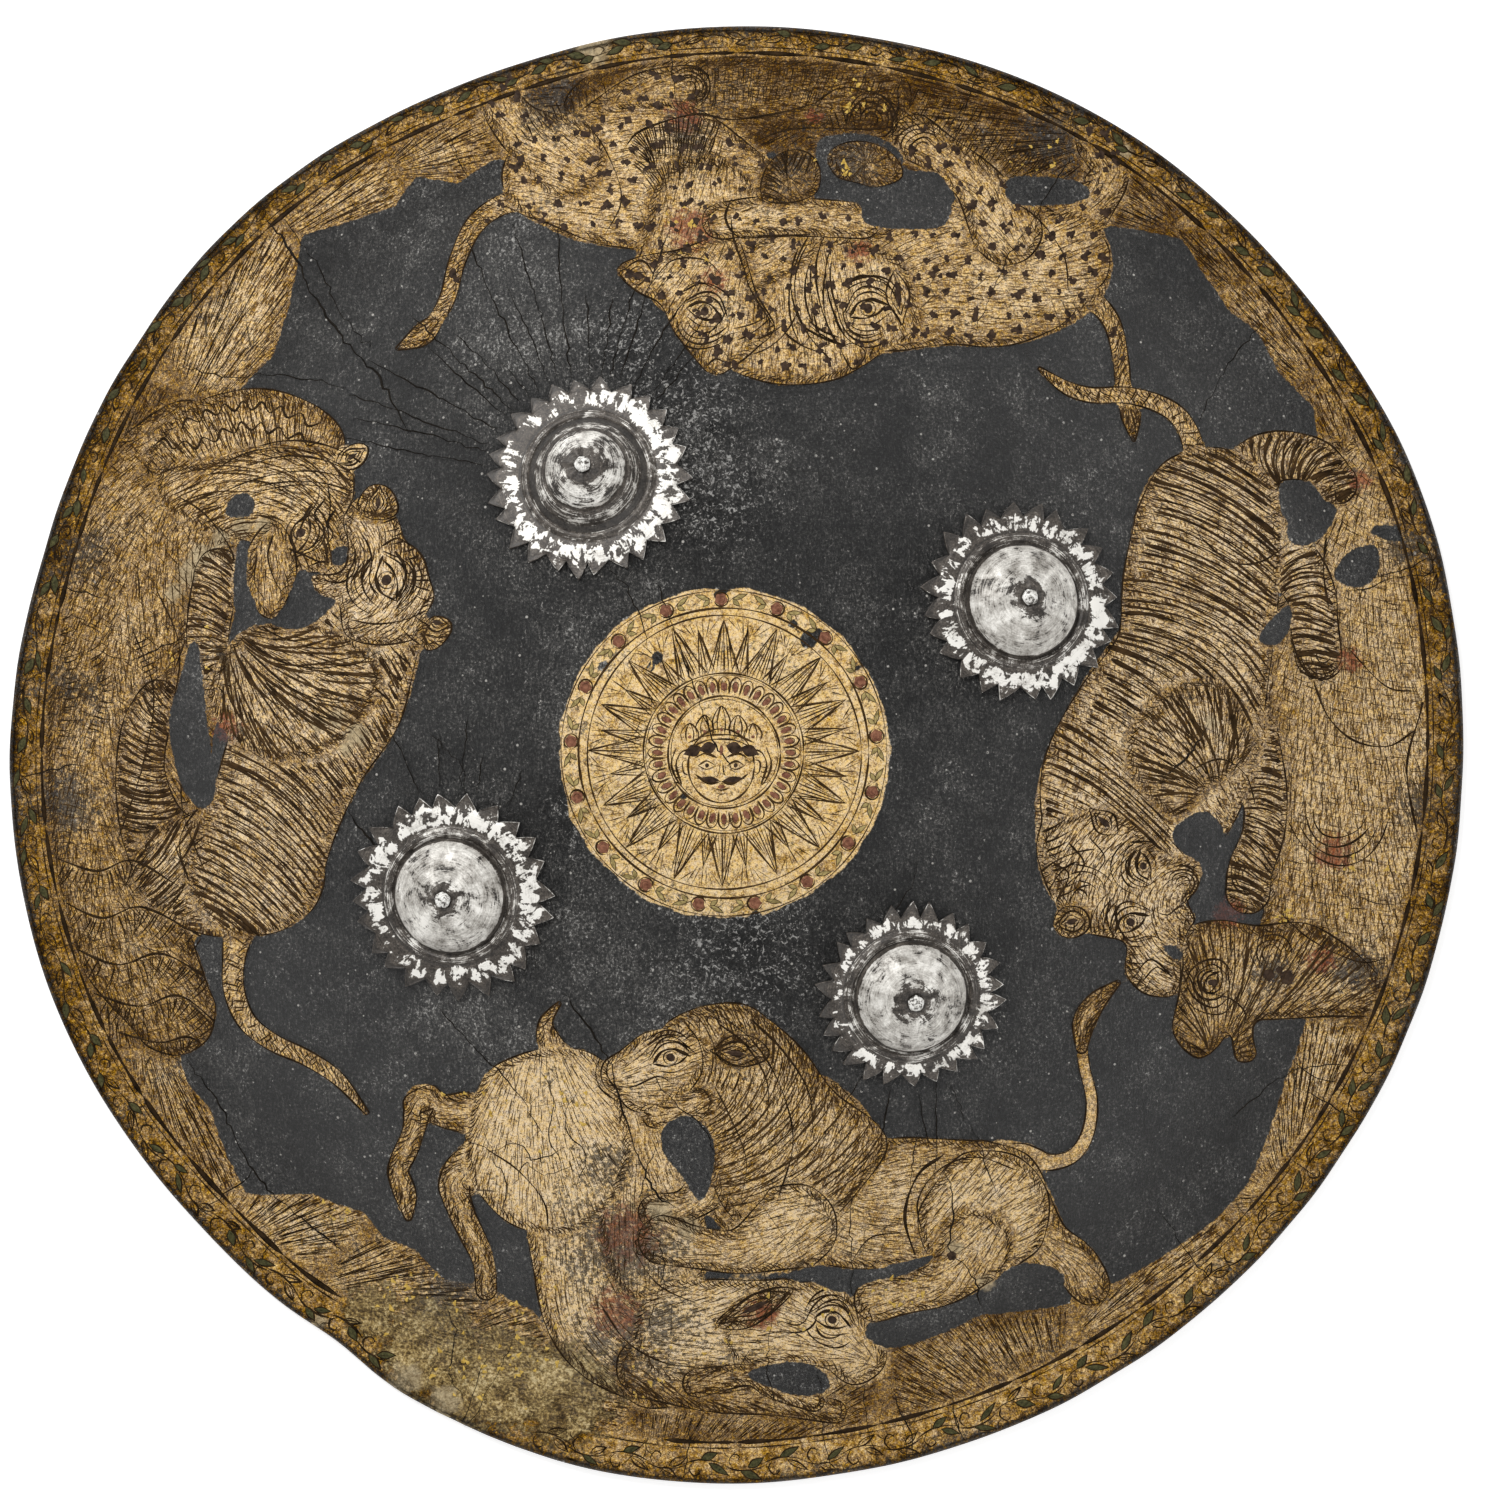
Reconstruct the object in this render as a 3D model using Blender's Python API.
"""A dhal: a round, domed hide shield with four sun-shaped metal bosses, lying face up on its rim.

Metres, +Z up. The origin is under the middle of the rim, on the surface that the shield lies on.
+Y is towards the top of the painted face, and bearings run anticlockwise from +X.
"""

import math

import bmesh
import bpy
from mathutils import Matrix, Vector

# Hide body
RIM_RADIUS = 0.280  # mean radius of the outline
HIDE = 0.006  # thickness of the hide
SPHERE = 0.470  # radius of the sphere that the face follows
FLARE_START = 0.240  # where the rim starts to turn outwards
RIM_LIFT = 0.012  # how far the flare lifts the rim off the sphere
EDGE_ROUND = 0.0015  # rounding of the rim's outer edge
RIM_FLAT = 0.005  # width of the flat that the rim lies on
BACK_EDGE = 0.268  # where the back starts to follow the face
DRILL_REACH = 0.018  # how far a drill for a bolt hole reaches either side of the face
# The hide has dried out of round: (bearing, spread, outward reach) of each swell and dent.
OUTLINE_SWELLS = (
    (22, 14, 0.0027),
    (58, 20, 0.0030),
    (110, 9, -0.0012),
    (132, 9, 0.0014),
    (163, 12, -0.0022),
    (226, 18, -0.0052),
    (236, 4, -0.0025),
    (264, 12, 0.0015),
)
BODY_SEGMENTS = 64
FACE_RINGS = 9
BACK_RINGS = 9

# Bosses: name, place of the middle, reach of the ray tips, rays, dome radius, dome height, steps
BOSSES = (
    ("upper_left", (-0.0550, 0.1040), 0.0395, 26, 0.0210, 0.0150, 2),
    ("upper_right", (0.1070, 0.0570), 0.0385, 24, 0.0215, 0.0100, 1),
    ("lower_right", (0.0655, -0.0905), 0.0360, 26, 0.0210, 0.0100, 1),
    ("lower_left", (-0.1065, -0.0530), 0.0395, 24, 0.0215, 0.0100, 1),
)
SHEET = 0.0012  # thickness of a boss
RAY_LENGTH = 0.0085
BEAD_WIDTH = 0.0040  # the raised ring round a dome
BEAD_HEIGHT = 0.0014
BEAD_GAP = 0.0006  # groove between the ring and the dome
UPPER_STEP = 0.74  # a dome in two steps: radius of the upper one, as a share
LOWER_STEP = 0.45  # height of the lower one, as a share
OUTSIDE_POINTS = 4  # down a dome's section
INSIDE_POINTS = 3
SEAT = 0.0004  # gap between a boss and the hide, and round a shank
BACK_SEAT = 0.0006  # gap between a shoulder and the hide

# Eye bolts: each shank holds its boss on and ends behind the hide in an eye
SHANK = 0.0020
BOLT_HOLE = SHANK + SEAT
HEAD_RADIUS = 0.0032
HEAD_HEIGHT = 0.0018
HEAD_TOP_RADIUS = 0.0022
HEAD_CORNER = 0.0014  # height of the head's corner
SHOULDER_RADIUS = 0.0060
SHOULDER_TAPER = 0.0048  # radius of the shoulder's lower edge
SHOULDER = 0.0016
EYE_RADIUS = 0.0080
EYE_WIRE = 0.0020
BOLT_SIDES = 10

# Grips: a stiff rawhide bar with a loop at each end
LOOP_RADIUS = 0.0070
LOOP_CORD = 0.0022
LOOP_SLACK = 0.0006
GRIP_NECK = 0.0030  # radius of the bar where it leaves its loops
GRIP_RADIUS = 0.0090
GRIP_FULL = 0.65  # the bar reaches its full radius at this share of its bow
GRIP_BOW = 0.034  # how far the bar's middle is drawn towards the middle of the shield
GRIP_DROP = 0.010  # how far the bar's middle hangs below its ends
GRIP_STATIONS = 14
GRIP_SIDES = 10

RING_SIDES = 12  # of an eye or a loop
WIRE_SIDES = 6

LACQUER = ("painted_hide", (0.050, 0.046, 0.042), 0.45, 0.0)
SILVER = ("silvered_sheet", (0.60, 0.57, 0.52), 0.40, 0.9)
IRON = ("eye_bolt_iron", (0.16, 0.13, 0.11), 0.55, 0.8)
RAWHIDE = ("rawhide_grip", (0.16, 0.085, 0.045), 0.60, 0.0)


def clear_scene():
    for obj in list(bpy.data.objects):
        bpy.data.objects.remove(obj)


def material(spec):
    name, colour, roughness, metallic = spec
    made = bpy.data.materials.get(name) or bpy.data.materials.new(name)
    made.use_nodes = True
    shader = made.node_tree.nodes["Principled BSDF"]
    shader.inputs["Base Color"].default_value = (*colour, 1)
    shader.inputs["Roughness"].default_value = roughness
    shader.inputs["Metallic"].default_value = metallic
    return made


def finished(name, mesh_data, spec, smooth_below=40):
    """Turns a bmesh into a named object with its normals facing out."""
    bmesh.ops.recalc_face_normals(mesh_data, faces=mesh_data.faces)
    mesh = bpy.data.meshes.new(name)
    mesh_data.to_mesh(mesh)
    mesh_data.free()
    mesh.shade_smooth()
    mesh.set_sharp_from_angle(angle=math.radians(smooth_below))
    mesh.materials.append(material(spec))
    obj = bpy.data.objects.new(name, mesh)
    bpy.context.scene.collection.objects.link(obj)
    return obj


def skin_rings(mesh_data, rings, closed=False):
    """Joins rings of vertices with quads. A ring of one vertex is a pole."""
    pairs = list(zip(rings, rings[1:] + rings[:1] if closed else rings[1:]))
    for ring, after in pairs:
        count = max(len(ring), len(after))
        for i in range(count):
            j = (i + 1) % count
            corners = [ring[i % len(ring)], ring[j % len(ring)]]
            corners += [after[j % len(after)], after[i % len(after)]]
            mesh_data.faces.new(list(dict.fromkeys(corners)))


def round_ring(mesh_data, radius, height, segments):
    """A ring of vertices round Z, or one vertex where the radius is 0."""
    if radius == 0:
        return [mesh_data.verts.new((0, 0, height))]
    turns = [math.tau * i / segments for i in range(segments)]
    return [mesh_data.verts.new((radius * math.cos(t), radius * math.sin(t), height)) for t in turns]


def turned(name, profile, spec):
    """A solid of revolution about Z. The profile runs from axis to axis, as (radius, height)."""
    mesh_data = bmesh.new()
    skin_rings(mesh_data, [round_ring(mesh_data, r, h, BOLT_SIDES) for r, h in profile])
    return finished(name, mesh_data, spec)


def torus(name, ring_radius, wire, spec):
    """A ring round Z."""
    mesh_data = bmesh.new()
    tilts = [math.tau * j / WIRE_SIDES for j in range(WIRE_SIDES)]
    rings = []
    for i in range(RING_SIDES):
        turn = Matrix.Rotation(math.tau * i / RING_SIDES, 3, "Z")
        points = [Vector((ring_radius + wire * math.cos(t), 0, wire * math.sin(t))) for t in tilts]
        rings.append([mesh_data.verts.new(turn @ p) for p in points])
    skin_rings(mesh_data, rings, closed=True)
    return finished(name, mesh_data, spec)


def helper(obj):
    """Hides an object that only cuts or joins."""
    obj.hide_render = True
    obj.display_type = "WIRE"
    return obj


def combine(obj, other, operation):
    modifier = obj.modifiers.new(f"{operation.lower()}_{other.name}", "BOOLEAN")
    modifier.operation = operation
    modifier.solver = "EXACT"
    modifier.object = helper(other)


def outline_swell(bearing):
    """How far the rim reaches past its mean radius at a bearing, in radians."""
    reach = 0.0
    for centre, spread, amount in OUTLINE_SWELLS:
        off = (math.degrees(bearing) - centre + 180) % 360 - 180
        reach += amount * math.exp(-((off / spread) ** 2))
    return reach


def face_height(radius):
    """Height of the painted face: a sphere, turned outwards near the rim."""
    dome = math.sqrt(SPHERE**2 - radius**2) - math.sqrt(SPHERE**2 - RIM_RADIUS**2)
    flare = max(0.0, (radius - FLARE_START) / (RIM_RADIUS - FLARE_START)) ** 2
    return HIDE + dome - RIM_LIFT * (1 - flare)


def face_normal(radius):
    """(outward, upward) unit normal of the face at a radius."""
    flare_slope = 2 * RIM_LIFT * max(0.0, radius - FLARE_START) / (RIM_RADIUS - FLARE_START) ** 2
    slope = flare_slope - radius / math.sqrt(SPHERE**2 - radius**2)
    length = math.hypot(slope, 1)
    return -slope / length, 1 / length


def body_section():
    """The hide's section, from the middle of the face, round the rim, to the middle of the back."""
    face_edge = RIM_RADIUS - EDGE_ROUND
    face_radii = [face_edge * i / FACE_RINGS for i in range(FACE_RINGS + 1)]
    back_radii = [BACK_EDGE * i / BACK_RINGS for i in range(BACK_RINGS + 1)]
    section = [(radius, face_height(radius)) for radius in face_radii]
    section += [(RIM_RADIUS, face_height(face_edge) - EDGE_ROUND), (RIM_RADIUS, EDGE_ROUND)]
    section += [(face_edge, 0.0), (face_edge - RIM_FLAT, 0.0)]
    for radius in reversed(back_radii):
        outward, upward = face_normal(radius)
        section.append((radius - HIDE * outward, face_height(radius) - HIDE * upward))
    return section


def shield_body():
    """The hide, dried out of round and cut by a hole for each eye bolt."""
    mesh_data = bmesh.new()
    rings = [round_ring(mesh_data, r, h, BODY_SEGMENTS) for r, h in body_section()]
    for ring in rings[1:-1]:
        for vertex in ring:
            radius = vertex.co.xy.length
            bearing = math.atan2(vertex.co.y, vertex.co.x)
            vertex.co.xy *= 1 + outline_swell(bearing) / radius * (radius / RIM_RADIUS) ** 4
    skin_rings(mesh_data, rings)
    body = finished("shield_body", mesh_data, LACQUER)
    drill_wall = [(BOLT_HOLE, -DRILL_REACH), (BOLT_HOLE, DRILL_REACH)]
    drill_profile = [(0, -DRILL_REACH), *drill_wall, (0, DRILL_REACH)]
    for name, place, *_ in BOSSES:
        drill = turned(f"drill_{name}", drill_profile, IRON)
        drill.matrix_world = seat_matrix(place)
        combine(body, drill, "DIFFERENCE")


def seat_matrix(place):
    """The frame of a boss: its origin on the face, its Z along the face's normal, its X outwards."""
    radius = math.hypot(*place)
    outward, upward = face_normal(radius)
    away = Vector((place[0] / radius, place[1] / radius, 0))
    up = away * outward + Vector((0, 0, upward))
    side = up.cross(away).normalized()
    forward = side.cross(up)
    turn = Matrix((forward, side, up)).transposed().to_4x4()
    return Matrix.Translation((*place, face_height(radius))) @ turn


def hide_below(radius):
    """Height of the face below a boss, in the frame of the boss."""
    return math.sqrt(SPHERE**2 - radius**2) - SPHERE


def dome_section(radius, height, steps, points):
    """(radius, height) down a dome from the bolt hole to its foot, in one step or two."""
    upper = radius if steps == 1 else radius * UPPER_STEP
    foot = 0.0 if steps == 1 else height * LOWER_STEP
    hole = math.asin(BOLT_HOLE / upper)
    section = []
    for i in range(points):
        angle = hole + (math.pi / 2 - hole) * i / (points - 1)
        section.append((upper * math.sin(angle), foot + (height - foot) * math.cos(angle)))
    if steps == 2:
        section.append((radius, 0.0))
    return section


def boss(name, place, tip, rays, dome_radius, dome_height, steps):
    """A raised sheet boss: a hollow dome in a beaded ring, on a flange cut into rays."""
    mesh_data = bmesh.new()
    segments = 2 * rays
    bead = dome_radius + BEAD_GAP
    root = tip - RAY_LENGTH

    def ring(radius, height, ray_reach=0.0):
        """A ring that follows the hide at a height over it; every second point may reach out as a ray."""
        made = []
        for i in range(segments):
            reach = radius + (ray_reach if i % 2 == 0 else 0.0)
            turn = math.tau * i / segments
            level = SEAT + height + hide_below(reach)
            made.append(mesh_data.verts.new((reach * math.cos(turn), reach * math.sin(turn), level)))
        return made

    outside = dome_section(dome_radius, SHEET + dome_height, steps, OUTSIDE_POINTS)
    outside[-1] = (dome_radius, SHEET)
    outside += [(bead + BEAD_WIDTH / 2, SHEET + BEAD_HEIGHT), (bead + BEAD_WIDTH, SHEET)]
    inside = dome_section(dome_radius - SHEET, dome_height, steps, INSIDE_POINTS)
    rings = [ring(r, h) for r, h in outside]
    rings += [ring(root, SHEET, RAY_LENGTH), ring(root, 0.0, RAY_LENGTH)]
    rings += [ring(r, h) for r, h in reversed(inside)]
    skin_rings(mesh_data, rings, closed=True)
    obj = finished(f"boss_{name}", mesh_data, SILVER)
    obj.matrix_world = seat_matrix(place)


def eye_frame(place, partner):
    """The frame of an eye bolt: Z along the shank, X towards the bolt that holds the grip's other end."""
    seat = seat_matrix(place)
    up = seat.col[2].to_3d()
    line = Vector((partner[0] - place[0], partner[1] - place[1], 0))
    forward = (line - up * line.dot(up)).normalized()
    turn = Matrix((forward, up.cross(forward), up)).transposed().to_4x4()
    return Matrix.Translation(seat.to_translation()) @ turn


def eye_bolt(name, place, partner, dome_height):
    """A peened shank through boss and hide, with a shoulder and an eye behind the hide."""
    head = SEAT * 2 + SHEET + dome_height
    back = -HIDE - BACK_SEAT
    profile = [
        (0, head + HEAD_HEIGHT),
        (HEAD_TOP_RADIUS, head + HEAD_CORNER),
        (HEAD_RADIUS, head),
        (SHANK, head),
        (SHANK, back),
        (SHOULDER_RADIUS, back),
        (SHOULDER_TAPER, back - SHOULDER),
        (0, back - SHOULDER),
    ]
    bolt = turned(f"eye_bolt_{name}", profile, IRON)
    bolt.matrix_world = eye_frame(place, partner)
    eye = torus(f"eye_{name}", EYE_RADIUS, EYE_WIRE, IRON)
    lowered = Matrix.Translation((0, 0, eye_depth())) @ Matrix.Rotation(math.pi / 2, 4, "Y")
    eye.matrix_world = bolt.matrix_world @ lowered
    combine(bolt, eye, "UNION")


def eye_depth():
    """Height of an eye's middle in the frame of its bolt."""
    return -HIDE - BACK_SEAT - SHOULDER - EYE_RADIUS - EYE_WIRE / 2


def loop_frame(place, partner):
    """The frame of a grip's end loop, which hangs round the eye's lowest wire. Its X is towards the bar."""
    hang = (LOOP_RADIUS - LOOP_CORD - EYE_WIRE - LOOP_SLACK) * math.sqrt(0.5)
    middle = Matrix.Translation((hang, 0, eye_depth() - EYE_RADIUS - hang))
    return eye_frame(place, partner) @ middle


def swept(name, path, radii, spec):
    """A round bar along a path, closed by a pole at each end."""
    mesh_data = bmesh.new()
    rings = []
    last = len(path) - 1
    for i, (point, radius) in enumerate(zip(path, radii)):
        along = (path[min(i + 1, last)] - path[max(i - 1, 0)]).normalized()
        across = along.cross(Vector((0, 0, 1))).normalized()
        up = across.cross(along)
        turns = [math.tau * j / GRIP_SIDES for j in range(GRIP_SIDES)]
        spokes = [across * math.cos(t) + up * math.sin(t) for t in turns]
        rings.append([mesh_data.verts.new(point + radius * spoke) for spoke in spokes])
    skin_rings(mesh_data, [[mesh_data.verts.new(path[0])], *rings, [mesh_data.verts.new(path[-1])]])
    return finished(name, mesh_data, spec)


def grip(name, place, partner):
    """A bar bowed towards the middle of the shield, with an end loop through each of two eyes."""
    loops = loop_frame(place, partner), loop_frame(partner, place)
    start, end = (frame @ Vector((LOOP_RADIUS, 0, 0)) for frame in loops)
    inward = -((start + end) / 2)
    inward.z = 0
    inward.normalize()
    path, radii = [], []
    bow = inward * GRIP_BOW + Vector((0, 0, -GRIP_DROP))
    for i in range(GRIP_STATIONS + 1):
        share = i / GRIP_STATIONS
        arch = math.sin(math.pi * share)
        path.append(start.lerp(end, share) + bow * arch)
        radii.append(GRIP_NECK + (GRIP_RADIUS - GRIP_NECK) * min(1.0, arch / GRIP_FULL))
    bar = swept(name, path, radii, RAWHIDE)
    for end_name, frame in zip("ab", loops):
        loop = torus(f"loop_{name}_{end_name}", LOOP_RADIUS, LOOP_CORD, RAWHIDE)
        loop.matrix_world = frame @ Matrix.Rotation(math.pi / 2, 4, "X")
        combine(bar, loop, "UNION")


def main():
    clear_scene()
    places = {name: place for name, place, *_ in BOSSES}
    partners = {"upper_left": "lower_left", "upper_right": "lower_right"}
    partners |= {b: a for a, b in partners.items()}
    shield_body()
    for spec in BOSSES:
        boss(*spec)
        name, place, dome_height = spec[0], spec[1], spec[5]
        eye_bolt(name, place, places[partners[name]], dome_height)
    grip("grip_left", places["upper_left"], places["lower_left"])
    grip("grip_right", places["upper_right"], places["lower_right"])


main()
